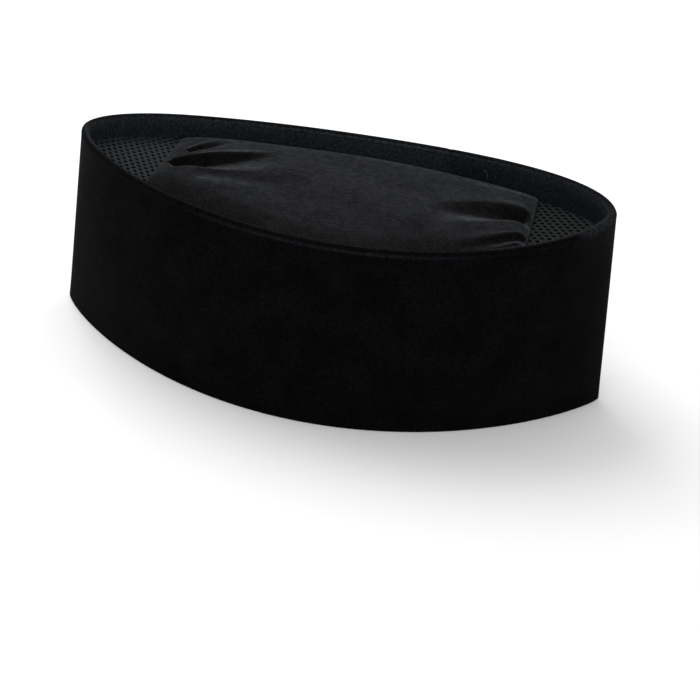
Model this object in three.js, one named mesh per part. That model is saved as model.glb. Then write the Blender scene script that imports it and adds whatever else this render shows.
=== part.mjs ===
// A songkok: the stiff oval velvet cap, standing on its open side with its length along X.
// Millimetres, +Z up, with the origin on the floor under the middle of the cap.

import * as THREE from "three";

// Driving dimensions of the wall

const BASE_HALF_LENGTH = 122;
const BASE_HALF_WIDTH = 61.4;
const BASE_EXPONENT = 1.18;
const TOP_HALF_LENGTH = 114.2;
const TOP_HALF_WIDTH = 53.5;
const TOP_EXPONENT = 1.73;
const WALL_THICKNESS = 3;
const END_THICKNESS = 3.6;
const OVAL_STEPS = 84;
const ANGLE_TOLERANCE = 1e-7;

// Driving dimensions of the top edge, which rises to both ends and is a little twisted

const SIDE_HEIGHT = 80.6;
const END_RISE = 8.5;
const END_TILT = 1.3;
const EDGE_TWIST = 1.8;

// Driving dimensions of the lip and of the bottom edge

const LIP_ROUND = 0.44;
const GROOVE_DROP = 2.2;
const GROOVE_HALF_WIDTH = 0.5;
const GROOVE_DEPTH = 0.45;
const HEM_ROUND = 0.7;

// Driving dimensions of the top

const GAP = 0.3;
const CROWN_DROP = 12.6;
const CROWN_DROP_TILT = 1.7;
const TIP_LIFT = 2.4;
const TIP_LIFT_POWER = 8;
const VENT_SEAM_X = 80.5;
const CROWN_THICKNESS = 2;
const SHOULDER_RISE = 3.7;
const SHOULDER_POWER = 10;
const SHOULDER_ROOT = 3;
const LEFT_END_POWER = 6.5;
const RIGHT_END_POWER = 26;
const MIDDLE_RISE = 3;
const CROWN_STEPS_LONG = 48;
const CROWN_STEPS_WIDE = 26;
const CROWN_STEP_CROWDING = 0.2;

// Driving dimensions of the net at both ends

const NET_THICKNESS = 1.2;
const NET_PITCH = 4.5;
const NET_HOLE_RADIUS = 1.5;
const NET_HOLE_SIDES = 6;
const NET_MARGIN = 3.2;
const NET_EDGE_STEPS = 16;

// The tucks of the crown, from the seam with the net to where each fades out.
// Bow is how far the middle of a tuck bends towards the back. Near and far are its widths towards
// the front and the back, lip the fold along its far side, and mouth its width at the seam as a share.

const TUCKS = [
  {
    seamX: -73.2, seamY: 3, fadeX: -35, fadeY: 29.2, bow: -1.1,
    depth: 5, near: 16.5, far: 3.6, lip: 1.8, mouth: 0.4,
  },
  {
    seamX: -60, seamY: -3, fadeX: -22, fadeY: 1, bow: 0,
    depth: 1.6, near: 10.5, far: 9, lip: 0, mouth: 1,
  },
  {
    seamX: -71, seamY: 15.5, fadeX: -58, fadeY: 34, bow: 0,
    depth: 2.1, near: 3.5, far: 2.8, lip: 0.8, mouth: 0.6,
  },
  {
    seamX: -80, seamY: -31, fadeX: 4, fadeY: -48, bow: -2,
    depth: 7.4, near: 8, far: 19, lip: 0, mouth: 1.2,
  },
  {
    seamX: 76.5, seamY: 8.5, fadeX: 37, fadeY: 1.2, bow: 3.5,
    depth: 5.5, near: 13.5, far: 6.4, lip: 0.5, mouth: 0.7,
  },
  {
    seamX: 78, seamY: -9.5, fadeX: 42, fadeY: -34, bow: 0,
    depth: 2.7, near: 9.5, far: 3.6, lip: 0.3, mouth: 0.5,
  },
  {
    seamX: 80, seamY: -31, fadeX: 14, fadeY: -47.5, bow: 0,
    depth: 6.6, near: 9, far: 19, lip: 0, mouth: 1,
  },
  {
    seamX: 78, seamY: 34, fadeX: 37, fadeY: 46, bow: 0,
    depth: 1, near: 8, far: 4.5, lip: 0, mouth: 1,
  },
];
const TUCK_SEAM_RAMP = 0.1;
const TUCK_FADE_POWER = 0.6;
const TUCK_OPEN_SHARE = 0.5;
const TUCK_JOIN_POWER = 3;
const LIP_PLACE_SHARE = 1.25;
const LIP_WIDTH_SHARE = 0.6;

// Colours and surfaces

const velvet = new THREE.MeshStandardMaterial({ color: 0x0b0b0d, roughness: 0.95, metalness: 0 });
const net = new THREE.MeshStandardMaterial({ color: 0x15161a, roughness: 0.8, metalness: 0 });

const BASE_OVAL = {
  halfLength: BASE_HALF_LENGTH,
  halfWidth: BASE_HALF_WIDTH,
  exponent: BASE_EXPONENT,
};
const TOP_OVAL = {
  halfLength: TOP_HALF_LENGTH,
  halfWidth: TOP_HALF_WIDTH,
  exponent: TOP_EXPONENT,
};

// A point of an oval at an angle, a given depth into the wall.
// An exponent under 2 makes the oval's ends a little pointed.
function ovalPoint(oval, angle, inset) {
  const sine = Math.sin(angle);
  const endInset = (inset * END_THICKNESS) / WALL_THICKNESS;
  const reach = Math.sign(sine) * Math.abs(sine) ** (2 / oval.exponent);
  return new THREE.Vector2(
    (oval.halfLength - endInset) * Math.cos(angle),
    (oval.halfWidth - inset) * reach,
  );
}

// The height of the top edge of the wall above the floor, carried on over the whole top.
function crestHeight(x, y) {
  const along = x / TOP_HALF_LENGTH;
  const across = y / TOP_HALF_WIDTH;
  return SIDE_HEIGHT + END_RISE * along ** 2 + END_TILT * along + EDGE_TWIST * along * across;
}

// A point in the wall: its angle round the oval, its depth in from the outer face, and its height.
// The height is a rise above the floor, or a drop below the top edge.
function wallPoint(angle, { inset, rise, drop }) {
  const edge = ovalPoint(TOP_OVAL, angle, 0);
  const crest = crestHeight(edge.x, edge.y);
  const z = rise === undefined ? crest - drop : rise;
  const base = ovalPoint(BASE_OVAL, angle, inset);
  const place = base.lerp(ovalPoint(TOP_OVAL, angle, inset), z / crest);
  return new THREE.Vector3(place.x, place.y, z);
}

// How far the crown's seam lies below the top edge.
function seamDrop(x) {
  const along = x / TOP_HALF_LENGTH;
  return CROWN_DROP + CROWN_DROP_TILT * along - TIP_LIFT * Math.abs(along) ** TIP_LIFT_POWER;
}

function seamHeight(x, y) {
  return crestHeight(x, y) - seamDrop(x);
}

// The line on which the crown and the net meet the inside of the wall, at an angle round the oval.
function innerPoint(angle) {
  const x = TOP_HALF_LENGTH * Math.cos(angle);
  return wallPoint(angle, { inset: WALL_THICKNESS + GAP, drop: seamDrop(x) });
}

// The angle from the X axis at which the inner line reaches a given x.
function innerAngle(x) {
  let low = 0;
  let high = Math.PI;
  while (high - low > ANGLE_TOLERANCE) {
    const middle = (low + high) / 2;
    if (innerPoint(middle).x > x) low = middle;
    else high = middle;
  }
  return low;
}

// A smooth step from 0 to 1 as a share goes from 0 to 1.
function smooth(share) {
  return THREE.MathUtils.smoothstep(share, 0, 1);
}

// The depth of a tuck's hollow and the height of its lip at a point.
function tuckParts(tuck, x, y) {
  const along = new THREE.Vector2(tuck.fadeX - tuck.seamX, tuck.fadeY - tuck.seamY);
  const length = along.length();
  along.divideScalar(length);
  const reach = new THREE.Vector2(x - tuck.seamX, y - tuck.seamY);
  const share = reach.dot(along) / length;
  const inShare = THREE.MathUtils.clamp(share, 0, 1);
  const bend = 4 * tuck.bow * inShare * (1 - inShare);
  const side = Math.sign(along.x) * (along.x * reach.y - along.y * reach.x) - bend;
  const ramp = smooth((share + TUCK_SEAM_RAMP) / TUCK_SEAM_RAMP);
  const fade = ramp * (1 - smooth(share)) ** TUCK_FADE_POWER;
  const opened = tuck.mouth + (1 - tuck.mouth) * smooth(share / TUCK_OPEN_SHARE);
  const width = (side > 0 ? tuck.far : tuck.near) * opened;
  const far = tuck.far * opened;
  const lipOffset = (side - far * LIP_PLACE_SHARE) / (far * LIP_WIDTH_SHARE);
  return {
    hollow: fade * tuck.depth * (1 - smooth(Math.abs(side) / width)),
    lip: fade * tuck.lip * Math.exp(-(lipOffset ** 2)),
  };
}

// The height of the crown's upper face at a point, where share is its place across, from -1 to 1.
function crownHeight(x, y, share) {
  const edge = 1 - Math.abs(share) ** SHOULDER_POWER;
  const ends = 1 - Math.abs(x / VENT_SEAM_X) ** (x < 0 ? LEFT_END_POWER : RIGHT_END_POWER);
  const shoulder = Math.max(0, edge * ends) ** (1 / SHOULDER_ROOT);
  const dome = MIDDLE_RISE * (1 - share ** 2) * ends;
  const parts = TUCKS.map((tuck) => tuckParts(tuck, x, y));
  const lip = Math.max(...parts.map((part) => part.lip));
  const hollows = parts.reduce((sum, part) => sum + part.hollow ** TUCK_JOIN_POWER, 0);
  const tucks = lip - hollows ** (1 / TUCK_JOIN_POWER);
  return seamHeight(x, y) + dome + (SHOULDER_RISE + tucks) * shoulder;
}

// A solid from a grid of corners that closes on itself in both directions.
function ringSolid(columns, rows, cornerAt) {
  const corners = [];
  const faces = [];
  for (let i = 0; i < columns; i++)
    for (let j = 0; j < rows; j++) {
      corners.push(...cornerAt(i, j).toArray());
      const next = ((i + 1) % columns) * rows;
      const up = (j + 1) % rows;
      faces.push(i * rows + j, next + j, next + up);
      faces.push(i * rows + j, next + up, i * rows + up);
    }
  return solidGeometry(corners, faces);
}

// A sheet of a given thickness below a grid of corners, closed round its edges.
function sheetSolid(columns, rows, thickness, cornerAt) {
  const corners = [];
  const faces = [];
  const upper = (i, j) => i * (rows + 1) + j;
  const lower = (i, j) => (columns + 1) * (rows + 1) + upper(i, j);
  const quad = (a, b, c, d) => faces.push(a, b, c, a, c, d);
  for (const sink of [0, thickness])
    for (let i = 0; i <= columns; i++)
      for (let j = 0; j <= rows; j++) {
        const corner = cornerAt(i, j);
        corners.push(corner.x, corner.y, corner.z - sink);
      }
  for (let i = 0; i < columns; i++)
    for (let j = 0; j < rows; j++) {
      quad(upper(i, j), upper(i + 1, j), upper(i + 1, j + 1), upper(i, j + 1));
      quad(lower(i, j), lower(i, j + 1), lower(i + 1, j + 1), lower(i + 1, j));
    }
  for (let i = 0; i < columns; i++) {
    quad(lower(i, 0), lower(i + 1, 0), upper(i + 1, 0), upper(i, 0));
    quad(upper(i, rows), upper(i + 1, rows), lower(i + 1, rows), lower(i, rows));
  }
  for (let j = 0; j < rows; j++) {
    quad(upper(0, j), upper(0, j + 1), lower(0, j + 1), lower(0, j));
    quad(lower(columns, j), lower(columns, j + 1), upper(columns, j + 1), upper(columns, j));
  }
  return solidGeometry(corners, faces);
}

function solidGeometry(corners, faces) {
  const geometry = new THREE.BufferGeometry();
  geometry.setAttribute("position", new THREE.Float32BufferAttribute(corners, 3));
  geometry.setIndex(faces);
  geometry.computeVertexNormals();
  return geometry;
}

// The wall's section, up the outer face, over the lip and down the inner face.
function wallSection() {
  const inner = WALL_THICKNESS;
  const round = WALL_THICKNESS / 2;
  return [
    { inset: HEM_ROUND, rise: 0 },
    { inset: 0, rise: HEM_ROUND },
    { inset: 0, drop: GROOVE_DROP + GROOVE_HALF_WIDTH },
    { inset: GROOVE_DEPTH, drop: GROOVE_DROP },
    { inset: 0, drop: GROOVE_DROP - GROOVE_HALF_WIDTH },
    { inset: 0, drop: round },
    { inset: LIP_ROUND, drop: LIP_ROUND },
    { inset: round, drop: 0 },
    { inset: inner - LIP_ROUND, drop: LIP_ROUND },
    { inset: inner, drop: round },
    { inset: inner, drop: GROOVE_DROP - GROOVE_HALF_WIDTH },
    { inset: inner - GROOVE_DEPTH, drop: GROOVE_DROP },
    { inset: inner, drop: GROOVE_DROP + GROOVE_HALF_WIDTH },
    { inset: inner, rise: HEM_ROUND },
    { inset: inner - HEM_ROUND, rise: 0 },
  ];
}

function sideBand() {
  const section = wallSection();
  const geometry = ringSolid(OVAL_STEPS, section.length, (i, j) =>
    wallPoint((2 * Math.PI * i) / OVAL_STEPS, section[j]),
  );
  return new THREE.Mesh(geometry, velvet);
}

function crownPanel() {
  const end = VENT_SEAM_X - GAP / 2;
  const geometry = sheetSolid(CROWN_STEPS_LONG, CROWN_STEPS_WIDE, CROWN_THICKNESS, (i, j) => {
    const u = (2 * i) / CROWN_STEPS_LONG - 1;
    const x = end * ((1 + CROWN_STEP_CROWDING) * u - CROWN_STEP_CROWDING * u ** 3);
    const share = (2 * j) / CROWN_STEPS_WIDE - 1;
    const y = share * innerPoint(innerAngle(x)).y;
    return new THREE.Vector3(x, y, crownHeight(x, y, share));
  });
  return new THREE.Mesh(geometry, velvet);
}

// The outline of the net at the right end, seen from above.
function netOutline() {
  const widest = innerAngle(VENT_SEAM_X + GAP / 2);
  const points = [];
  for (let i = 0; i <= NET_EDGE_STEPS; i++) {
    const place = innerPoint(widest * ((2 * i) / NET_EDGE_STEPS - 1));
    points.push(new THREE.Vector2(place.x, place.y));
  }
  return points;
}

function distanceToOutline(place, outline) {
  return Math.min(
    ...outline.map((a, i) => {
      const b = outline[(i + 1) % outline.length];
      const edge = b.clone().sub(a);
      const share = THREE.MathUtils.clamp(place.clone().sub(a).dot(edge) / edge.lengthSq(), 0, 1);
      return place.distanceTo(a.clone().addScaledVector(edge, share));
    }),
  );
}

// The centres of the holes of the net, in staggered rows, clear of its edge.
function netHoles(outline) {
  const holes = [];
  const rowPitch = (NET_PITCH * Math.sqrt(3)) / 2;
  const rows = Math.ceil((TOP_HALF_LENGTH - VENT_SEAM_X) / rowPitch);
  const reach = Math.ceil(TOP_HALF_WIDTH / NET_PITCH);
  for (let row = 0; row < rows; row++)
    for (let n = -reach; n <= reach; n++) {
      const place = new THREE.Vector2(
        VENT_SEAM_X + NET_MARGIN + row * rowPitch,
        (n + (row % 2) / 2) * NET_PITCH,
      );
      const clear = distanceToOutline(place, outline) >= NET_MARGIN - GAP;
      if (clear && insideOutline(place, outline)) holes.push(place);
    }
  return holes;
}

function insideOutline(place, outline) {
  return outline.every((a, i) => {
    const b = outline[(i + 1) % outline.length];
    return b.clone().sub(a).cross(place.clone().sub(a)) > 0;
  });
}

// One net panel, where side is 1 at the right end and -1 at the left end.
function ventMesh(side) {
  const outline = netOutline();
  const shape = new THREE.Shape(outline);
  for (const place of netHoles(outline)) {
    const rim = new THREE.Path();
    rim.absarc(place.x, place.y, NET_HOLE_RADIUS, 0, 2 * Math.PI, true);
    shape.holes.push(rim);
  }
  const geometry = new THREE.ExtrudeGeometry(shape, {
    depth: NET_THICKNESS,
    curveSegments: NET_HOLE_SIDES / 2,
    bevelEnabled: false,
  });
  const corners = geometry.getAttribute("position");
  for (let i = 0; i < corners.count; i++) {
    const x = side * corners.getX(i);
    const y = side * corners.getY(i);
    corners.setXYZ(i, x, y, seamHeight(x, y) + corners.getZ(i) - NET_THICKNESS);
  }
  geometry.computeVertexNormals();
  return new THREE.Mesh(geometry, net);
}

function named(mesh, name) {
  mesh.name = name;
  return mesh;
}

const songkok = new THREE.Group();
songkok.name = "songkok";
songkok.add(
  named(sideBand(), "side_band"),
  named(crownPanel(), "crown_panel"),
  named(ventMesh(-1), "vent_mesh_left"),
  named(ventMesh(1), "vent_mesh_right"),
);

export default songkok;
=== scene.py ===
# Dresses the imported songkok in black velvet, fine net and top-stitching.
# Everything is in metres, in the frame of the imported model.

import math

import bmesh
import bpy
from mathutils import Matrix, Vector, noise


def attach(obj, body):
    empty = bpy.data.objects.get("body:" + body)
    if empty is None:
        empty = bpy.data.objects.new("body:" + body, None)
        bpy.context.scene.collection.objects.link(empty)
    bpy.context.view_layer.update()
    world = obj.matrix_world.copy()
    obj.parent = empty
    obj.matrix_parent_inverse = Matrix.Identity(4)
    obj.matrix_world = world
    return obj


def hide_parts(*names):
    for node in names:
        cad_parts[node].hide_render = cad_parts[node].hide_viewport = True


millimetre = 0.001

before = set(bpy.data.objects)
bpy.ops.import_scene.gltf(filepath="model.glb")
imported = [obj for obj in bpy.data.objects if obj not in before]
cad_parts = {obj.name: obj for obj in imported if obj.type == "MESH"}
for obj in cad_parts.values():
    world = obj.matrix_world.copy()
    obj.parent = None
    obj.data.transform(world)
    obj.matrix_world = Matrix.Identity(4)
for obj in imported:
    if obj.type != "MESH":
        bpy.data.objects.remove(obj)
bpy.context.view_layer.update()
print("frame loaded:", ", ".join(sorted(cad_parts)))


def linkObject(name, data):
    made = bpy.data.objects.new(name, data)
    bpy.context.scene.collection.objects.link(made)
    return made


def finalMesh(piece):
    # The mesh that a piece has once its modifiers are applied.
    depsgraph = bpy.context.evaluated_depsgraph_get()
    return bpy.data.meshes.new_from_object(piece.evaluated_get(depsgraph), depsgraph=depsgraph)


# Camera

cameraView = {
    "azimuth": 11.01,  # degrees, 0 looks along +Y
    "elevation": 29.3,
    "roll": 5.24,
    "distance": 0.6608,
    "focalPixels": 1523.5,
    "framePixels": 700,
    "sensorWidth": 36,
    "nearClip": 0.01,
    "targetHeight": 0.0403,
    "targetPixelX": 334.1,  # where the middle of the cap lies in the photo
    "targetPixelY": 267.3,
}


def makeCamera(view):
    azimuth = math.radians(view["azimuth"])
    elevation = math.radians(view["elevation"])
    back = Vector((
        math.sin(azimuth) * math.cos(elevation),
        -math.cos(azimuth) * math.cos(elevation),
        math.sin(elevation),
    ))
    right = (-back).cross(Vector((0, 0, 1))).normalized()
    up = right.cross(-back)
    aligned = Matrix((right, up, back)).transposed()
    aligned = aligned @ Matrix.Rotation(math.radians(view["roll"]), 3, "Z")
    centre = view["framePixels"] / 2
    toTarget = Vector((
        view["targetPixelX"] - centre,
        centre - view["targetPixelY"],
        -view["focalPixels"],
    ))
    turn = Vector((0, 0, -1)).rotation_difference(toTarget).to_matrix()
    data = bpy.data.cameras.new("photoCamera")
    data.sensor_width = view["sensorWidth"]
    data.lens = view["focalPixels"] / view["framePixels"] * view["sensorWidth"]
    data.clip_start = view["nearClip"]
    camera = linkObject("photoCamera", data)
    place = Vector((0, 0, view["targetHeight"])) + back * view["distance"]
    camera.matrix_world = Matrix.Translation(place) @ (aligned @ turn.transposed()).to_4x4()
    bpy.context.scene.camera = camera


makeCamera(cameraView)
print("camera placed")

# The cap's form, which every piece follows

capShape = {
    "baseHalfLength": 0.122,
    "baseHalfWidth": 0.0614,
    "baseExponent": 1.18,  # under 2, so that the ends are a little pointed
    "topHalfLength": 0.1142,
    "topHalfWidth": 0.0535,
    "topExponent": 1.73,
    "wall": 0.003,
    "endWall": 0.0036,
    "sideHeight": 0.0806,
    "endRise": 0.0085,
    "endTilt": 0.0013,
    "edgeTwist": 0.0018,
    "crownDrop": 0.0126,  # from the top edge down to the crown's seam
    "crownDropTilt": 0.0017,
    "tipLift": 0.0024,
    "tipLiftPower": 8,
    "ventSeamX": 0.0805,
    "halvings": 40,  # steps of the search along the inner wall
}


def ovalPoint(level, angle, inset):
    # A point of the base or top oval, a given depth into the wall.
    sine = math.sin(angle)
    reach = math.copysign(abs(sine) ** (2 / capShape[level + "Exponent"]), sine)
    endInset = inset * capShape["endWall"] / capShape["wall"]
    return Vector((
        (capShape[level + "HalfLength"] - endInset) * math.cos(angle),
        (capShape[level + "HalfWidth"] - inset) * reach,
    ))


def crestHeight(x, y):
    along = x / capShape["topHalfLength"]
    across = y / capShape["topHalfWidth"]
    rise = capShape["endRise"] * along ** 2 + capShape["endTilt"] * along
    return capShape["sideHeight"] + rise + capShape["edgeTwist"] * along * across


def crestAt(angle):
    edge = ovalPoint("top", angle, 0)
    return crestHeight(edge.x, edge.y)


def wallPoint(angle, inset, height):
    base = ovalPoint("base", angle, inset)
    place = base.lerp(ovalPoint("top", angle, inset), height / crestAt(angle))
    return Vector((place.x, place.y, height))


def seamDrop(x):
    along = x / capShape["topHalfLength"]
    lift = capShape["tipLift"] * abs(along) ** capShape["tipLiftPower"]
    return capShape["crownDrop"] + capShape["crownDropTilt"] * along - lift


def seamHeight(x, y):
    return crestHeight(x, y) - seamDrop(x)


def innerPoint(angle):
    x = capShape["topHalfLength"] * math.cos(angle)
    return wallPoint(angle, capShape["wall"], crestAt(angle) - seamDrop(x))


def innerAngle(x):
    # The angle at which the inside of the wall reaches x, found by halving.
    low, high = 0, math.pi
    for _ in range(capShape["halvings"]):
        middle = (low + high) / 2
        if innerPoint(middle).x > x:
            low = middle
        else:
            high = middle
    return low


def smooth(share):
    share = min(1, max(0, share))
    return share * share * (3 - 2 * share)


def meshObject(name, vertices, faces, uvs=None):
    mesh = bpy.data.meshes.new(name)
    mesh.from_pydata(vertices, [], faces)
    if uvs:
        layer = mesh.uv_layers.new(name="UVMap")
        for loop in mesh.loops:
            layer.data[loop.index].uv = uvs[loop.vertex_index]
    mesh.shade_smooth()
    mesh.update()
    return linkObject(name, mesh)


# Materials

# The band and the crown are the same black velvet in two copies. The band's copy is darker with almost no
# sheen, as painted shade on the upright wall; the crown's is lighter with strong sheen, as painted light on
# the top.
bandLook = {
    "dark": (0.0013, 0.0013, 0.0016),
    "light": (0.0033, 0.0032, 0.0040),
    "inner": (0.0203, 0.0273, 0.0329),  # painted light: the inner face is lighter and bluer than the outer face
    "highlightColour": (0.0260, 0.0280, 0.0310),  # painted highlight: the sheen on the lip, the ridge and the ends
    "tipScale": 1000,  # per metre, the tips of the pile
    "tipDepth": 0.00045,
    "sheen": 0.024,
    "sheenRoughness": 0.4,
    "sheenTint": (0.22, 0.23, 0.25),
}

crownLook = {
    "dark": (0.0024, 0.0025, 0.0027),
    "light": (0.0084, 0.0087, 0.0094),
    "tipScale": 900,
    "tipDepth": 0.0003,
    "sheen": 0.67,
    "sheenRoughness": 0.35,
    "sheenTint": (0.22, 0.23, 0.25),
}

pile = {
    "roughness": 0.9,
    "specular": 0.02,
    "napScale": 70,  # per metre, the brushed patches
    "napDetail": 5,
    "napRoughness": 0.65,
    "napStops": (0.32, 0.72),
    "tipDetail": 2,
    "tipRoughness": 0.7,
    "tipStops": (0.3, 0.75),
    "mottleScale": 300,
    "mottleRange": (0.3, 0.7),  # the part of the noise that counts
    "mottle": 0.45,  # how much more or less the sheen is, as a share
    "tipShade": 0.7,
}


def newMaterial(name):
    material = bpy.data.materials.new(name)
    material.use_nodes = True
    return material, material.node_tree, material.node_tree.nodes["Principled BSDF"]


def addNode(tree, kind, **values):
    node = tree.nodes.new(kind)
    for key, value in values.items():
        setattr(node, key, value)
    return node


def noiseNode(tree, vector, scale, detail, roughness=0.5):
    texture = addNode(tree, "ShaderNodeTexNoise")
    texture.inputs["Scale"].default_value = scale
    texture.inputs["Detail"].default_value = detail
    texture.inputs["Roughness"].default_value = roughness
    tree.links.new(vector, texture.inputs["Vector"])
    return texture.outputs["Fac"]


def rampNode(tree, factor, places, colours):
    ramp = addNode(tree, "ShaderNodeValToRGB")
    for element, place, colour in zip(ramp.color_ramp.elements, places, colours):
        element.position = place
        element.color = (*colour, 1)
    tree.links.new(factor, ramp.inputs["Fac"])
    return ramp.outputs["Color"]


def mixColour(tree, factor, first, second, blend="MIX"):
    mix = addNode(tree, "ShaderNodeMix", data_type="RGBA", blend_type=blend)
    # The colour sockets of this node are the ones at 6 and 7.
    for socket, value in zip((mix.inputs[0], mix.inputs[6], mix.inputs[7]), (factor, first, second)):
        if isinstance(value, bpy.types.NodeSocket):
            tree.links.new(value, socket)
        elif isinstance(value, tuple):
            socket.default_value = (*value, 1)
        else:
            socket.default_value = value
    return mix.outputs[2]


def attributeNode(tree, name):
    return addNode(tree, "ShaderNodeAttribute", attribute_name=name).outputs["Fac"]


def bumpNode(tree, height, depth):
    bump = addNode(tree, "ShaderNodeBump")
    bump.inputs["Distance"].default_value = depth
    tree.links.new(height, bump.inputs["Height"])
    return bump.outputs["Normal"]


def makeVelvet(name, look):
    material, tree, shader = newMaterial(name)
    place = addNode(tree, "ShaderNodeTexCoord").outputs["Object"]
    nap = noiseNode(tree, place, pile["napScale"], pile["napDetail"], pile["napRoughness"])
    tips = noiseNode(tree, place, look["tipScale"], pile["tipDetail"], pile["tipRoughness"])
    mottle = noiseNode(tree, place, pile["mottleScale"], pile["tipDetail"], pile["tipRoughness"])
    colour = rampNode(tree, nap, pile["napStops"], (look["dark"], look["light"]))
    if "inner" in look:
        # The inner face's painted light and shade, lighter than the outer face.
        colour = mixColour(tree, attributeNode(tree, "inside"), colour, look["inner"])
        # Painted highlights along the lip, the ridge, the ends and the top of the inner face.
        colour = mixColour(tree, attributeNode(tree, "paintedHighlight"), colour, look["highlightColour"])
    shades = [(1 + sign * pile["tipShade"],) * 3 for sign in (-1, 1)]
    shade = rampNode(tree, tips, pile["tipStops"], shades)
    colour = mixColour(tree, 1.0, colour, shade, "MULTIPLY")
    tree.links.new(colour, shader.inputs["Base Color"])
    tree.links.new(bumpNode(tree, tips, look["tipDepth"]), shader.inputs["Normal"])
    shader.inputs["Roughness"].default_value = pile["roughness"]
    shader.inputs["Specular IOR Level"].default_value = pile["specular"]
    sheen = addNode(tree, "ShaderNodeMapRange")
    sheen.inputs["From Min"].default_value, sheen.inputs["From Max"].default_value = pile["mottleRange"]
    sheen.inputs["To Min"].default_value = look["sheen"] * (1 - pile["mottle"])
    sheen.inputs["To Max"].default_value = look["sheen"] * (1 + pile["mottle"])
    tree.links.new(mottle, sheen.inputs["Value"])
    tree.links.new(sheen.outputs["Result"], shader.inputs["Sheen Weight"])
    shader.inputs["Sheen Roughness"].default_value = look["sheenRoughness"]
    shader.inputs["Sheen Tint"].default_value = (*look["sheenTint"], 1)
    return material


thread = {
    "sewn": (0.0026, 0.0027, 0.0030),
    "loose": (0.095, 0.094, 0.098),  # where the light catches it
    "roughness": 0.8,
    "specular": 0.04,
    "twistScale": 2600,
    "twistDetail": 1,
    "twistStops": (0.35, 0.65),
    "twistShade": 0.5,
}
netLook = {
    "dark": (0.0060, 0.0076, 0.0082),
    "light": (0.0145, 0.0175, 0.0182),
    "roughness": 0.75,
    "specular": 0.12,
    "fibreScale": 1800,
    "fibreDetail": 2,
    "fibreRoughness": 0.6,
    "fibreStops": (0.3, 0.7),
    "fibreDepth": 0.0001,
}


def makeThread(name, colour):
    material, tree, shader = newMaterial(name)
    place = addNode(tree, "ShaderNodeTexCoord").outputs["Object"]
    twist = noiseNode(tree, place, thread["twistScale"], thread["twistDetail"])
    dim = tuple(thread["twistShade"] * part for part in colour)
    colour = rampNode(tree, twist, thread["twistStops"], (dim, colour))
    tree.links.new(colour, shader.inputs["Base Color"])
    shader.inputs["Roughness"].default_value = thread["roughness"]
    shader.inputs["Specular IOR Level"].default_value = thread["specular"]
    return material


def makeNetMaterial(name, look):
    material, tree, shader = newMaterial(name)
    place = addNode(tree, "ShaderNodeTexCoord").outputs["Object"]
    fibre = noiseNode(tree, place, look["fibreScale"], look["fibreDetail"], look["fibreRoughness"])
    colour = rampNode(tree, fibre, look["fibreStops"], (look["dark"], look["light"]))
    # The shade attribute multiplies in the nets' painted light and shade.
    shade = addNode(tree, "ShaderNodeCombineColor")
    for socket in shade.inputs[:3]:
        tree.links.new(attributeNode(tree, "shade"), socket)
    colour = mixColour(tree, 1.0, colour, shade.outputs["Color"], "MULTIPLY")
    tree.links.new(colour, shader.inputs["Base Color"])
    tree.links.new(bumpNode(tree, fibre, look["fibreDepth"]), shader.inputs["Normal"])
    shader.inputs["Roughness"].default_value = look["roughness"]
    shader.inputs["Specular IOR Level"].default_value = look["specular"]
    return material


bandVelvet = makeVelvet("bandVelvet", bandLook)
crownVelvet = makeVelvet("crownVelvet", crownLook)
seamThread = makeThread("seamThread", thread["sewn"])
looseThread = makeThread("looseThread", thread["loose"])
ventNet = makeNetMaterial("ventNet", netLook)
print("materials made")

# Geometry Nodes helpers


def newTree(name, sizes):
    # A tree with one named input for each size.
    tree = bpy.data.node_groups.new(name, "GeometryNodeTree")
    tree.interface.new_socket("Geometry", in_out="INPUT", socket_type="NodeSocketGeometry")
    for label, value in sizes.items():
        kind = "NodeSocketInt" if isinstance(value, int) else "NodeSocketFloat"
        tree.interface.new_socket(label, in_out="INPUT", socket_type=kind).default_value = value
    tree.interface.new_socket("Geometry", in_out="OUTPUT", socket_type="NodeSocketGeometry")
    return tree, addNode(tree, "NodeGroupInput"), addNode(tree, "NodeGroupOutput")


def mathNode(tree, operation, first, second):
    node = addNode(tree, "ShaderNodeMath", operation=operation)
    for socket, value in zip(node.inputs, (first, second)):
        if isinstance(value, bpy.types.NodeSocket):
            tree.links.new(value, socket)
        else:
            socket.default_value = value
    return node.outputs[0]


def finishTree(tree, geometry, groupOutput, material):
    realize = addNode(tree, "GeometryNodeRealizeInstances")
    setMaterial = addNode(tree, "GeometryNodeSetMaterial")
    setMaterial.inputs["Material"].default_value = material
    tree.links.new(geometry, realize.inputs["Geometry"])
    tree.links.new(realize.outputs["Geometry"], setMaterial.inputs["Geometry"])
    tree.links.new(setMaterial.outputs["Geometry"], groupOutput.inputs["Geometry"])


def applyTree(piece, tree, sizes):
    modifier = piece.modifiers.new(tree.name, "NODES")
    modifier.node_group = tree
    for item in tree.interface.items_tree:
        if item.in_out == "INPUT" and item.name in sizes:
            modifier[item.identifier] = sizes[item.name]
    made = finalMesh(piece)
    piece.modifiers.remove(modifier)
    piece.data = made
    made.name = piece.name


def addPiece(piece, slot, *nodes):
    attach(piece, "root")
    if nodes:
        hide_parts(*nodes)


# The side band: the oval wall, its soft top edge and the stitched groove under it

sideBand = {
    "columns": 440,
    "lowerRows": 14,
    "upperRows": 18,
    "upperDepth": 0.0075,  # the finely stepped part under the lip
    "hemRound": 0.0007,
    "hemShare": 0.3,  # how much of its round the hem's middle point keeps
    "lipSteps": 28,
    "lipRise": 0.0022,
    "lipExponent": 2.1,
    "waver": 0.0003,
    "waverScale": 22,
    "waverFlatness": 0.6,
    "waverStart": 0.01,  # the height under which the wavering dies away
    "frontBlend": 0.016,  # how softly what marks the front passes into the back at both ends
    "joinX": 0.038,  # where the velvet strip's ends meet on the far side
    "joinSoftness": 0.0012,
    "joinDepth": 0.0005,
    "joinHalfWidth": 0.0009,
}

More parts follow.
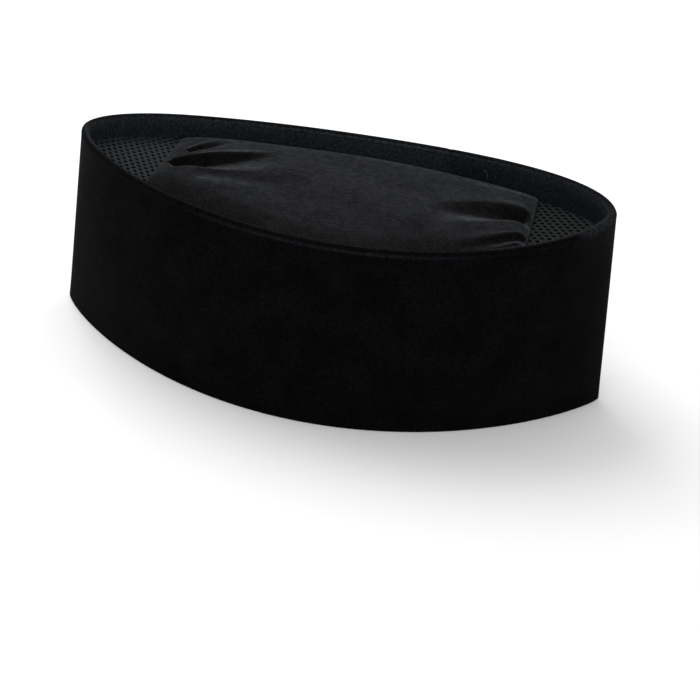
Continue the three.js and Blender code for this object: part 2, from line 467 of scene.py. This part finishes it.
# The stitched groove and the soft fold that it raises under it, by their drop below the top edge
seam = {
    "grooveTurn": 0.22,  # where the stitches sit, as a share of the lip's turn
    "grooveDrop": 0.0008,
    "grooveHalfWidth": 0.0005,
    "grooveDepth": 0.0004,
    "grooveFade": 0.85,  # how much of it is lost towards both ends
    "grooveFadeX": 0.068,
    "grooveFadeBlend": 0.022,
    "ridgeDrop": 0.0021,
    "ridgeHalfWidth": 0.0006,
    "ridgeHeight": 0.0004,
    "ridgeHighlight": 0.26,
    "ridgeX": 0.006,
    "ridgeReach": 0.052,
    "ridgePower": 4,
    "ridgeLeast": 0.15,
    "innerRelief": 0.5,
}

# Painted highlights on the band's velvet, standing in for its sheen at edges and folds, and the painted light
# and shade along the inner face
paintedHighlight = {
    "lip": 0.16,
    "lipTurn": 0.56,
    "lipTurnWidth": 0.16,
    "rightLip": 0.42,  # more, along the front of the right end
    "rightLipX": 0.065,
    "rightLipBlend": 0.008,
    "leftLip": 0.45,
    "leftLipX": 0.097,
    "leftLipBlend": 0.008,
    "inner": 0.75,
    "innerRight": 0.45,
    "innerTurn": 0.66,
    "innerTurnBlend": 0.25,
    "innerDepth": 0.0028,
    "end": 0.10,  # on the outer face, near the top of both ends
    "endX": 0.095,
    "endBlend": 0.014,
    "endDepth": 0.026,
    "tip": 0.50,  # on the lip's outer side and under it, at the front of the right end
    "tipX": 0.100,
    "tipBlend": 0.006,
    "tipDepth": 0.0032,
}
innerPaintedShade = {
    "start": 0.55,  # the share of the lip's turn at which the inner face's colour begins
    "blend": 0.4,
    "front": 0.57,
    "left": 0.71,
    "middleX": 0.005,
    "middleReach": 0.032,
    "right": 0.50,
    "end": 0.35,
    "endX": 0.075,
    "endBlend": 0.02,
}


def bell(value, middle, halfWidth):
    return math.exp(-(((value - middle) / halfWidth) ** 2))


def reliefShares(x):
    # How much of the groove and of the ridge is left at a place along the cap.
    away = abs(x - seam["ridgeX"]) / seam["ridgeReach"]
    ridge = seam["ridgeLeast"] + (1 - seam["ridgeLeast"]) * math.exp(-(away ** seam["ridgePower"]))
    fade = smooth((abs(x) - seam["grooveFadeX"]) / seam["grooveFadeBlend"])
    return 1 - seam["grooveFade"] * fade, ridge


def frontShare(y):
    return smooth(0.5 - y / sideBand["frontBlend"])


def pastJoin(x):
    return smooth((x - sideBand["joinX"]) / sideBand["joinSoftness"] + 0.5)


def seamRelief(drop, shares):
    # How far the groove and the ridge raise the velvet at a drop, and how much painted highlight the ridge
    # gets.
    grooveShare, ridgeShare = shares
    groove = seam["grooveDepth"] * grooveShare * bell(drop, seam["grooveDrop"], seam["grooveHalfWidth"])
    ridge = bell(drop, seam["ridgeDrop"], seam["ridgeHalfWidth"]) * ridgeShare
    return seam["ridgeHeight"] * ridge - groove, seam["ridgeHighlight"] * ridge


def lipPlace(turn, rise):
    # The inset and the drop of a place on the round lip, which turns from the outer face to the inner one.
    half, lip = capShape["wall"] / 2, sideBand["lipRise"]
    power = 2 / sideBand["lipExponent"]
    cosine, sine = math.cos(turn), math.sin(turn)
    inset = half - half * math.copysign(abs(cosine) ** power, cosine) - rise * cosine
    return inset, lip - lip * abs(sine) ** power - rise * sine


def lipRows(edge, crest, shares):
    rows = []
    right = paintedHighlight["rightLip"] * smooth((edge.x - paintedHighlight["rightLipX"]) / paintedHighlight["rightLipBlend"])
    left = paintedHighlight["leftLip"] * smooth((-edge.x - paintedHighlight["leftLipX"]) / paintedHighlight["leftLipBlend"])
    # Painted highlight along the lip's crest, stronger at the front of both ends.
    lipHighlight = paintedHighlight["lip"] + (right + left) * frontShare(edge.y)
    innerHighlight = innerHighlightAt(edge)
    tipHighlight = tipHighlightAt(edge)
    for step in range(sideBand["lipSteps"] + 1):
        turned = step / sideBand["lipSteps"]
        turn = math.pi * turned
        rise, highlightShare = seamRelief(lipPlace(turn, 0)[1], shares)
        if turned > 0.5:
            rise, highlightShare = rise * seam["innerRelief"], 0
        inset, drop = lipPlace(turn, rise)
        highlightShare = max(highlightShare, lipHighlight * bell(turned, paintedHighlight["lipTurn"], paintedHighlight["lipTurnWidth"]))
        highlightShare = max(highlightShare, tipHighlight * bell(drop, 0, paintedHighlight["tipDepth"]) * (turned < 0.5))
        highlightShare = max(highlightShare, innerHighlight * smooth((turned - paintedHighlight["innerTurn"]) / paintedHighlight["innerTurnBlend"]))
        rows.append((inset, crest - drop, highlightShare, smooth((turned - innerPaintedShade["start"]) / innerPaintedShade["blend"])))
    return rows


# Painted highlight on the lip's outer side and under it, at the front of the right end.
def tipHighlightAt(edge):
    return paintedHighlight["tip"] * smooth((edge.x - paintedHighlight["tipX"]) / paintedHighlight["tipBlend"]) * frontShare(edge.y)


# Painted highlight along the top of the inner face, weaker past the join.
def innerHighlightAt(edge):
    return paintedHighlight["inner"] + (paintedHighlight["innerRight"] - paintedHighlight["inner"]) * pastJoin(edge.x)


def bandSection(angle):
    # Rows of (inset, height, painted highlight, inside) up the outer face, over the lip and down the inner
    # face.
    edge, crest = ovalPoint("top", angle, 0), crestAt(angle)
    lip, hem = sideBand["lipRise"], sideBand["hemRound"]
    shares = reliefShares(edge.x)
    fineStart = crest - sideBand["upperDepth"]
    coarseRise = (fineStart - hem) / sideBand["lowerRows"]
    fineRise = (crest - lip - fineStart) / sideBand["upperRows"]
    heights = [hem + coarseRise * step for step in range(sideBand["lowerRows"])]
    heights += [fineStart + fineRise * step for step in range(sideBand["upperRows"])]
    corner = [(hem, 0), (hem * sideBand["hemShare"], hem * sideBand["hemShare"])]
    ends = smooth((abs(edge.x) - paintedHighlight["endX"]) / paintedHighlight["endBlend"])
    innerHighlight, tipHighlight = innerHighlightAt(edge), tipHighlightAt(edge)
    outer = [(inset, height, 0, 0) for inset, height in corner]
    inner = [(capShape["wall"] - inset, height, 0, 1) for inset, height in corner]
    for height in heights:
        drop = crest - height
        rise, highlightShare = seamRelief(drop, shares)
        # Painted highlight on the outer face near the top of both ends.
        highlightShare = max(highlightShare, paintedHighlight["end"] * ends * smooth(1 - drop / paintedHighlight["endDepth"]))
        highlightShare = max(highlightShare, tipHighlight * bell(drop, 0, paintedHighlight["tipDepth"]))
        outer.append((-rise, height, highlightShare, 0))
        highlightShare = innerHighlight * bell(drop, lip, paintedHighlight["innerDepth"])
        inner.append((capShape["wall"] + seam["innerRelief"] * rise, height, highlightShare, 1))
    return outer + lipRows(edge, crest, shares) + inner[::-1]


def paintedInnerShade(x, y):
    # Painted light and shade along the inner face: lightest in the middle, darker to the left, past the join,
    # towards the right end and at the front.
    middle = bell(x, innerPaintedShade["middleX"], innerPaintedShade["middleReach"])
    before = innerPaintedShade["left"] + (1 - innerPaintedShade["left"]) * middle
    end = smooth((x - innerPaintedShade["endX"]) / innerPaintedShade["endBlend"])
    after = innerPaintedShade["right"] + (innerPaintedShade["end"] - innerPaintedShade["right"]) * end
    back = before + (after - before) * pastJoin(x)
    return back + (innerPaintedShade["front"] - back) * frontShare(y)


def makeSideBand():
    vertices, faces, uvs, paintedHighlights, insides = [], [], [], [], []
    for column in range(sideBand["columns"]):
        angle = 2 * math.pi * column / sideBand["columns"]
        section = bandSection(angle)
        rows = len(section)
        for row, (inset, z, highlightShare, inside) in enumerate(section):
            point = wallPoint(angle, inset, z)
            place = Vector((point.x, point.y, z * sideBand["waverFlatness"])) * sideBand["waverScale"]
            waver = sideBand["waver"] * noise.noise(place) * smooth(z / sideBand["waverStart"])
            if point.y > 0:
                gap = bell(point.x, sideBand["joinX"], sideBand["joinHalfWidth"])
                waver -= sideBand["joinDepth"] * gap * (1 - 2 * inside)
            outward = (wallPoint(angle, inset - millimetre, z) - point).normalized()
            vertices.append(point + outward * waver)
            uvs.append((column / sideBand["columns"], row / rows))
            paintedHighlights.append(highlightShare)
            insides.append(inside * paintedInnerShade(point.x, point.y))
    for column in range(sideBand["columns"]):
        after = (column + 1) % sideBand["columns"]
        for row in range(rows):
            up = (row + 1) % rows
            faces.append((column * rows + row, after * rows + row, after * rows + up, column * rows + up))
    piece = meshObject("bandVelvetShell", vertices, faces, uvs)
    piece.data.attributes.new("paintedHighlight", "FLOAT", "POINT").data.foreach_set("value", paintedHighlights)
    piece.data.attributes.new("inside", "FLOAT", "POINT").data.foreach_set("value", insides)
    piece.data.materials.append(bandVelvet)
    addPiece(piece, "band_velvet", "side_band")


makeSideBand()
print("side band made")

# The top-stitching, on both faces of the band

stitch = {"Spacing": 0.0033, "Length": 0.0025, "Radius": 0.0002}
stitchForm = {
    "sink": 0.00033,  # how deep the thread's middle lies in the wall
    "innerSinkShare": 0.6,
    "sides": 8,
    "rings": 6,
}


def stitchTree():
    tree, given, result = newTree("rimStitches", stitch)
    curve = addNode(tree, "GeometryNodeMeshToCurve")
    spaced = addNode(tree, "GeometryNodeResampleCurve", mode="LENGTH")
    tangent = addNode(tree, "GeometryNodeInputTangent")
    align = addNode(tree, "FunctionNodeAlignRotationToVector", axis="X")
    bead = addNode(tree, "GeometryNodeMeshUVSphere")
    bead.inputs["Segments"].default_value = stitchForm["sides"]
    bead.inputs["Rings"].default_value = stitchForm["rings"]
    bead.inputs["Radius"].default_value = 1
    size = addNode(tree, "ShaderNodeCombineXYZ")
    shape = addNode(tree, "GeometryNodeTransform")
    place = addNode(tree, "GeometryNodeInstanceOnPoints")
    tree.links.new(given.outputs["Geometry"], curve.inputs["Mesh"])
    tree.links.new(curve.outputs["Curve"], spaced.inputs["Curve"])
    tree.links.new(given.outputs["Spacing"], spaced.inputs["Length"])
    tree.links.new(tangent.outputs["Tangent"], align.inputs["Vector"])
    tree.links.new(mathNode(tree, "MULTIPLY", given.outputs["Length"], 0.5), size.inputs["X"])
    tree.links.new(given.outputs["Radius"], size.inputs["Y"])
    tree.links.new(given.outputs["Radius"], size.inputs["Z"])
    tree.links.new(bead.outputs["Mesh"], shape.inputs["Geometry"])
    tree.links.new(size.outputs["Vector"], shape.inputs["Scale"])
    tree.links.new(spaced.outputs["Curve"], place.inputs["Points"])
    tree.links.new(shape.outputs["Geometry"], place.inputs["Instance"])
    tree.links.new(align.outputs["Rotation"], place.inputs["Rotation"])
    finishTree(tree, place.outputs["Instances"], result, seamThread)
    return tree


def makeStitches(name, turned, sink, tree):
    steps = sideBand["columns"]
    inset, drop = lipPlace(math.pi * turned, -sink)
    points = []
    for step in range(steps):
        angle = 2 * math.pi * step / steps
        points.append(wallPoint(angle, inset, crestAt(angle) - drop))
    mesh = bpy.data.meshes.new(name)
    mesh.from_pydata(points, [(step, (step + 1) % steps) for step in range(steps)], [])
    piece = linkObject(name, mesh)
    applyTree(piece, tree, stitch)
    piece.data.shade_smooth()
    addPiece(piece, "band_velvet")


rimStitches = stitchTree()
makeStitches("rimStitchesOuter", seam["grooveTurn"], stitchForm["sink"], rimStitches)
innerSink = stitchForm["sink"] * stitchForm["innerSinkShare"]
makeStitches("rimStitchesInner", 1 - seam["grooveTurn"], innerSink, rimStitches)
print("stitches made")

# The sewing thread's loose end, which curls out of the join on the inner face

curl = {
    "x": 0.0550,
    "drop": 0.0088,
    "halfWidth": 0.0021,
    "halfHeight": 0.0025,
    "startTurn": 125,  # degrees on its oval arc
    "endTurn": -60,
    "lift": 0.0009,
    "radius": 0.00014,
    "steps": 18,
    "sides": 8,
    "root": 0.0002,  # how deep its start lies in the velvet
}


def makeCurl():
    # The thread runs along an oval arc on the face and lifts off it in the middle.
    data = bpy.data.curves.new("looseThread", "CURVE")
    data.dimensions = "3D"
    data.bevel_depth = curl["radius"]
    data.bevel_resolution = curl["sides"] // 2 - 2
    data.use_fill_caps = True
    line = data.splines.new("POLY")
    line.points.add(curl["steps"])
    start = innerAngle(curl["x"])
    for step, point in enumerate(line.points):
        share = step / curl["steps"]
        turn = math.radians(curl["startTurn"] + (curl["endTurn"] - curl["startTurn"]) * share)
        angle = start - curl["halfWidth"] * math.cos(turn) / capShape["topHalfLength"]
        inset = capShape["wall"] - curl["root"] + curl["lift"] * math.sin(math.pi * share)
        drop = curl["drop"] - curl["halfHeight"] * math.sin(turn)
        point.co = (*wallPoint(angle, inset, crestAt(start) - drop), 1)
    shape = linkObject("looseThread", data)
    mesh = finalMesh(shape)
    bpy.data.objects.remove(shape)
    mesh.name = "looseThread"
    piece = linkObject("looseThread", mesh)
    mesh.shade_smooth()
    mesh.materials.clear()
    mesh.materials.append(looseThread)
    addPiece(piece, "band_velvet")


makeCurl()
print("loose thread made")

# The crown: the puffed velvet panel with its tucks

crown = {
    "columns": 250,
    "rows": 150,
    "crowding": 0.6,  # how much closer the mesh lines lie towards the edges
    "thickness": 0.002,
    "wallGap": 0.0001,
    "shoulderRise": 0.0037,
    "shoulderPower": 10,
    "shoulderRoot": 3,
    "leftEndPower": 6.5,  # the crown slopes down more softly to the left net
    "rightEndPower": 26,
    "middleRise": 0.003,
    "softness": 0.0007,
    "softnessScale": 30,
    "seamRamp": 0.10,
    "fadePower": 0.6,
    "openShare": 0.5,  # how far along a pinched tuck reaches its full width
    "lipPlace": 1.25,  # shares of the tuck's far width
    "lipWidth": 0.6,
    "overhang": 0.7,  # how far a lip leans over its tuck, for each unit of its height
    "joinPower": 3,
}

# Each tuck runs from the net's seam to where it fades out, bowed towards the back by its bow. Near
# and far are its widths towards the front and the back, and mouth is its width at the seam as a share.
crownTucks = [
    {"seam": (-0.0732, 0.0030), "fade": (-0.035, 0.0292), "bow": -0.0011, "depth": 0.0050,
     "near": 0.0165, "far": 0.0036, "lip": 0.0018, "mouth": 0.4},
    {"seam": (-0.060, -0.003), "fade": (-0.022, 0.001), "bow": 0, "depth": 0.0016,
     "near": 0.0105, "far": 0.0090, "lip": 0, "mouth": 1},
    {"seam": (-0.071, 0.0155), "fade": (-0.058, 0.034), "bow": 0, "depth": 0.0021,
     "near": 0.0035, "far": 0.0028, "lip": 0.0008, "mouth": 0.6},
    {"seam": (-0.080, -0.031), "fade": (0.004, -0.048), "bow": -0.002, "depth": 0.0074,
     "near": 0.0080, "far": 0.0190, "lip": 0, "mouth": 1.2},
    {"seam": (0.0765, 0.0085), "fade": (0.037, 0.0012), "bow": 0.0035, "depth": 0.0055,
     "near": 0.0135, "far": 0.0064, "lip": 0.0005, "mouth": 0.7},
    {"seam": (0.078, -0.0095), "fade": (0.042, -0.034), "bow": 0, "depth": 0.0027,
     "near": 0.0095, "far": 0.0036, "lip": 0.0003, "mouth": 0.5},
    {"seam": (0.080, -0.031), "fade": (0.014, -0.0475), "bow": 0, "depth": 0.0066,
     "near": 0.0090, "far": 0.0190, "lip": 0, "mouth": 1},
    {"seam": (0.078, 0.034), "fade": (0.037, 0.046), "bow": 0, "depth": 0.0010,
     "near": 0.0080, "far": 0.0045, "lip": 0, "mouth": 1},
]


def tuckParts(tuck, x, y):
    # The hollow and the lip of a tuck at a place, and the way from the lip down to the hollow.
    along = Vector(tuck["fade"]) - Vector(tuck["seam"])
    length = along.length
    along.normalize()
    across = Vector((-along.y, along.x)) * math.copysign(1, along.x)
    reach = Vector((x, y)) - Vector(tuck["seam"])
    share = reach.dot(along) / length
    inShare = min(1, max(0, share))
    side = reach.dot(across) - 4 * tuck["bow"] * inShare * (1 - inShare)
    ramp = smooth((share + crown["seamRamp"]) / crown["seamRamp"])
    fade = ramp * (1 - smooth(share)) ** crown["fadePower"]
    opened = tuck["mouth"] + (1 - tuck["mouth"]) * smooth(share / crown["openShare"])
    width = (tuck["far"] if side > 0 else tuck["near"]) * opened
    hollow = fade * tuck["depth"] * (1 - smooth(abs(side) / width))
    far = tuck["far"] * opened
    lip = fade * tuck["lip"] * bell(side, far * crown["lipPlace"], far * crown["lipWidth"])
    return hollow, lip, -across


def crownPoint(x, halfWidth, share):
    y = share * halfWidth
    edge = max(0, 1 - abs(share) ** crown["shoulderPower"])
    power = crown["leftEndPower"] if x < 0 else crown["rightEndPower"]
    ends = max(0, 1 - abs(x / capShape["ventSeamX"]) ** power)
    shoulder = (edge * ends) ** (1 / crown["shoulderRoot"])
    dome = crown["middleRise"] * (1 - share * share) * ends
    hollows, lips, lean = 0, 0, Vector((0, 0))
    for tuck in crownTucks:
        hollow, lip, way = tuckParts(tuck, x, y)
        hollows += hollow ** crown["joinPower"]
        lips = max(lips, lip)
        lean += way * lip * crown["overhang"]
    tucks = lips - hollows ** (1 / crown["joinPower"])
    soft = noise.noise(Vector((x, y, 0)) * crown["softnessScale"]) * crown["softness"]
    height = seamHeight(x, y) + dome + (crown["shoulderRise"] + tucks + soft) * shoulder
    lean *= edge * ends
    return Vector((x + lean.x, y + lean.y, height))


def crowded(share):
    return (1 - crown["crowding"]) * share + crown["crowding"] * math.sin(math.pi / 2 * share)


def makeCrown():
    columns, rows = crown["columns"], crown["rows"]
    upper, uvs = [], []
    for column in range(columns + 1):
        x = capShape["ventSeamX"] * crowded(2 * column / columns - 1)
        halfWidth = innerPoint(innerAngle(x)).y - crown["wallGap"]
        for row in range(rows + 1):
            point = crownPoint(x, halfWidth, crowded(2 * row / rows - 1))
            upper.append(point)
            uvs.append((point.x, point.y))
    lower = [point - Vector((0, 0, crown["thickness"])) for point in upper]
    count = len(upper)
    faces = []
    for column in range(columns):
        for row in range(rows):
            a = column * (rows + 1) + row
            b = a + rows + 1
            faces.append((a, b, b + 1, a + 1))
            faces.append((count + a, count + a + 1, count + b + 1, count + b))
    for column in range(columns):
        a = column * (rows + 1)
        b = a + rows + 1
        faces.append((count + a, count + b, b, a))
        faces.append((a + rows, b + rows, count + b + rows, count + a + rows))
    last = columns * (rows + 1)
    for row in range(rows):
        faces.append((row, row + 1, count + row + 1, count + row))
        faces.append((count + last + row, count + last + row + 1, last + row + 1, last + row))
    piece = meshObject("crownVelvetPanel", upper + lower, faces, uvs + uvs)
    piece.data.materials.append(crownVelvet)
    addPiece(piece, "crown_velvet", "crown_panel")


makeCrown()
print("crown made")

# The nets: knitted mesh with round holes, cut to the cap's ends

net = {"Pitch": 0.0031, "Columns": 14, "Rows": 28, "Hole": 0.6}
netForm = {
    "thickness": 0.0006,
    "bump": 0.00035,
    "bumpStart": 0.3,  # the rise begins this many pitches from a hole's middle
    "bumpReach": 0.28,
    "roundings": 2,
    "tuckUnder": 0.0012,
    "edgeSteps": 44,
    "middleX": 0.0955,
    "weld": 0.00002,
    "weldShare": 0.05,
}
# Painted light and shade on the two nets, which are one and the same net: the left one brighter, more so
# towards the back, the right one darker. Its shade in the middle, and the change for each metre.
netPaintedShade = {"ventNetLeft": (1.3, 16), "ventNetRight": (0.85, 0)}


def netTree():
    # Six-sided cells are laid in staggered rows, welded and pierced, and their edges rounded into threads.
    tree, given, result = newTree("ventNetting", net)
    grid = addNode(tree, "GeometryNodeMeshGrid")
    rowStep = mathNode(tree, "MULTIPLY", given.outputs["Pitch"], math.sqrt(3) / 2)
    fewerColumns = mathNode(tree, "SUBTRACT", given.outputs["Columns"], 1)
    fewerRows = mathNode(tree, "SUBTRACT", given.outputs["Rows"], 1)
    tree.links.new(mathNode(tree, "MULTIPLY", given.outputs["Pitch"], fewerColumns), grid.inputs["Size X"])
    tree.links.new(mathNode(tree, "MULTIPLY", rowStep, fewerRows), grid.inputs["Size Y"])
    tree.links.new(given.outputs["Columns"], grid.inputs["Vertices X"])
    tree.links.new(given.outputs["Rows"], grid.inputs["Vertices Y"])
    index = addNode(tree, "GeometryNodeInputIndex").outputs["Index"]
    row = mathNode(tree, "MODULO", index, given.outputs["Rows"])
    odd = mathNode(tree, "MODULO", row, 2)
    halfPitch = mathNode(tree, "MULTIPLY", given.outputs["Pitch"], 0.5)
    shift = addNode(tree, "ShaderNodeCombineXYZ")
    tree.links.new(mathNode(tree, "MULTIPLY", odd, halfPitch), shift.inputs["X"])
    stagger = addNode(tree, "GeometryNodeSetPosition")
    tree.links.new(grid.outputs["Mesh"], stagger.inputs["Geometry"])
    tree.links.new(shift.outputs["Vector"], stagger.inputs["Offset"])
    cell = addNode(tree, "GeometryNodeMeshCircle", fill_type="NGON")
    cell.inputs["Vertices"].default_value = 6
    tree.links.new(mathNode(tree, "DIVIDE", given.outputs["Pitch"], math.sqrt(3)), cell.inputs["Radius"])
    turned = addNode(tree, "GeometryNodeTransform")
    turned.inputs["Rotation"].default_value = (0, 0, math.pi / 6)
    tree.links.new(cell.outputs["Mesh"], turned.inputs["Geometry"])
    place = addNode(tree, "GeometryNodeInstanceOnPoints")
    tree.links.new(stagger.outputs["Geometry"], place.inputs["Points"])
    tree.links.new(turned.outputs["Geometry"], place.inputs["Instance"])
    cells = addNode(tree, "GeometryNodeRealizeInstances")
    tree.links.new(place.outputs["Instances"], cells.inputs["Geometry"])
    weld = addNode(tree, "GeometryNodeMergeByDistance")
    tree.links.new(cells.outputs["Geometry"], weld.inputs["Geometry"])
    weldDistance = mathNode(tree, "MULTIPLY", given.outputs["Pitch"], netForm["weldShare"])
    tree.links.new(weldDistance, weld.inputs["Distance"])
    inset = addNode(tree, "GeometryNodeExtrudeMesh", mode="FACES")
    inset.inputs["Individual"].default_value = True
    inset.inputs["Offset Scale"].default_value = 0
    tree.links.new(weld.outputs["Geometry"], inset.inputs["Mesh"])
    shrink = addNode(tree, "GeometryNodeScaleElements", domain="FACE")
    tree.links.new(inset.outputs["Mesh"], shrink.inputs["Geometry"])
    tree.links.new(inset.outputs["Top"], shrink.inputs["Selection"])
    tree.links.new(given.outputs["Hole"], shrink.inputs["Scale"])
    pierce = addNode(tree, "GeometryNodeDeleteGeometry", domain="FACE")
    tree.links.new(shrink.outputs["Geometry"], pierce.inputs["Geometry"])
    tree.links.new(inset.outputs["Top"], pierce.inputs["Selection"])
    rounder = addNode(tree, "GeometryNodeSubdivisionSurface")
    rounder.inputs["Level"].default_value = netForm["roundings"]
    tree.links.new(pierce.outputs["Geometry"], rounder.inputs["Mesh"])
    finishTree(tree, rounder.outputs["Mesh"], result, ventNet)
    return tree


def netEdge(side):
    # The net's edge along the wall, from the far end of its seam round the tip to the near end.
    start = innerAngle(capShape["ventSeamX"] - netForm["tuckUnder"])
    points = []
    for step in range(netForm["edgeSteps"] + 1):
        angle = start - 2 * start * step / netForm["edgeSteps"]
        point = innerPoint(angle)
        points.append(Vector((side * point.x, point.y, 0)))
    return points


def clipMesh(form, point, outward):
    everything = form.verts[:] + form.edges[:] + form.faces[:]
    bmesh.ops.bisect_plane(form, geom=everything, plane_co=point, plane_no=outward, clear_outer=True)


def netBump(x, y, side):
    # Threads stand highest where three holes meet.
    pitch = net["Pitch"]
    rowStep = pitch * math.sqrt(3) / 2
    across = y / rowStep + (net["Rows"] - 1) / 2
    nearest = pitch
    for row in (math.floor(across), math.floor(across) + 1):
        shift = pitch / 2 if row % 2 else 0
        along = (x - side * netForm["middleX"] - shift) / pitch + (net["Columns"] - 1) / 2
        gapX = (along - round(along)) * pitch
        gapY = (across - row) * rowStep
        nearest = min(nearest, math.hypot(gapX, gapY))
    return netForm["bump"] * smooth((nearest / pitch - netForm["bumpStart"]) / netForm["bumpReach"])


def makeNet(name, side, node, tree):
    piece = meshObject(name, [(0, 0, 0)], [])
    applyTree(piece, tree, net)
    form = bmesh.new()
    form.from_mesh(piece.data)
    bmesh.ops.translate(form, verts=form.verts, vec=(side * netForm["middleX"], 0, 0))
    edge = netEdge(side)
    clipMesh(form, edge[0], Vector((-side, 0, 0)))
    for first, second in zip(edge, edge[1:]):
        run = second - first
        clipMesh(form, first, Vector((-run.y, run.x, 0)) * side)
    bmesh.ops.remove_doubles(form, verts=form.verts, dist=netForm["weld"])
    for vertex in form.verts:
        x, y = vertex.co.x, vertex.co.y
        vertex.co.z = seamHeight(x, y) + netBump(x, y, side)
    form.to_mesh(piece.data)
    form.free()
    thicken = piece.modifiers.new("thickness", "SOLIDIFY")
    thicken.thickness = netForm["thickness"]
    thicken.offset = -1
    solid = finalMesh(piece)
    piece.modifiers.remove(thicken)
    piece.data = solid
    solid.shade_smooth()
    solid.materials.clear()
    solid.materials.append(ventNet)
    solid.polygons.foreach_set("material_index", [0] * len(solid.polygons))
    # Painted light and shade: the same net is made brighter or darker by place.
    middleShade, slope = netPaintedShade[name]
    shade = solid.attributes.new("shade", "FLOAT", "POINT")
    shade.data.foreach_set("value", [middleShade + slope * vertex.co.y for vertex in solid.vertices])
    addPiece(piece, "vent_net", node)


netting = netTree()
makeNet("ventNetLeft", -1, "vent_mesh_left", netting)
makeNet("ventNetRight", 1, "vent_mesh_right", netting)
print("nets made")

# Floor and light

studio = {
    "floorSize": 6,
    "floorColour": (0.86, 0.86, 0.86),
    "floorRoughness": 0.9,
    "floorSpecular": 0.1,
    "world": (1.0, 1.0, 1.0),
    "worldStrength": 0.9,
    "keyPower": 14,
    "keySize": 0.9,
    "keyPlace": (-0.7, 0.5, 1.3),
}


def makeStudio():
    half = studio["floorSize"] / 2
    corners = [(-half, -half, 0), (half, -half, 0), (half, half, 0), (-half, half, 0)]
    floor = meshObject("studioFloor", corners, [(0, 1, 2, 3)])
    material, _, shader = newMaterial("studioFloor")
    shader.inputs["Base Color"].default_value = (*studio["floorColour"], 1)
    shader.inputs["Roughness"].default_value = studio["floorRoughness"]
    shader.inputs["Specular IOR Level"].default_value = studio["floorSpecular"]
    floor.data.materials.append(material)
    world = bpy.data.worlds.new("studioWorld")
    world.use_nodes = True
    background = world.node_tree.nodes["Background"]
    background.inputs["Color"].default_value = (*studio["world"], 1)
    background.inputs["Strength"].default_value = studio["worldStrength"]
    bpy.context.scene.world = world
    data = bpy.data.lights.new("keyLight", "AREA")
    data.energy = studio["keyPower"]
    data.size = studio["keySize"]
    key = linkObject("keyLight", data)
    key.location = studio["keyPlace"]
    key.rotation_euler = (-Vector(studio["keyPlace"])).to_track_quat("-Z", "Y").to_euler()
    bpy.context.scene.view_settings.view_transform = "Standard"


makeStudio()
print("studio made")
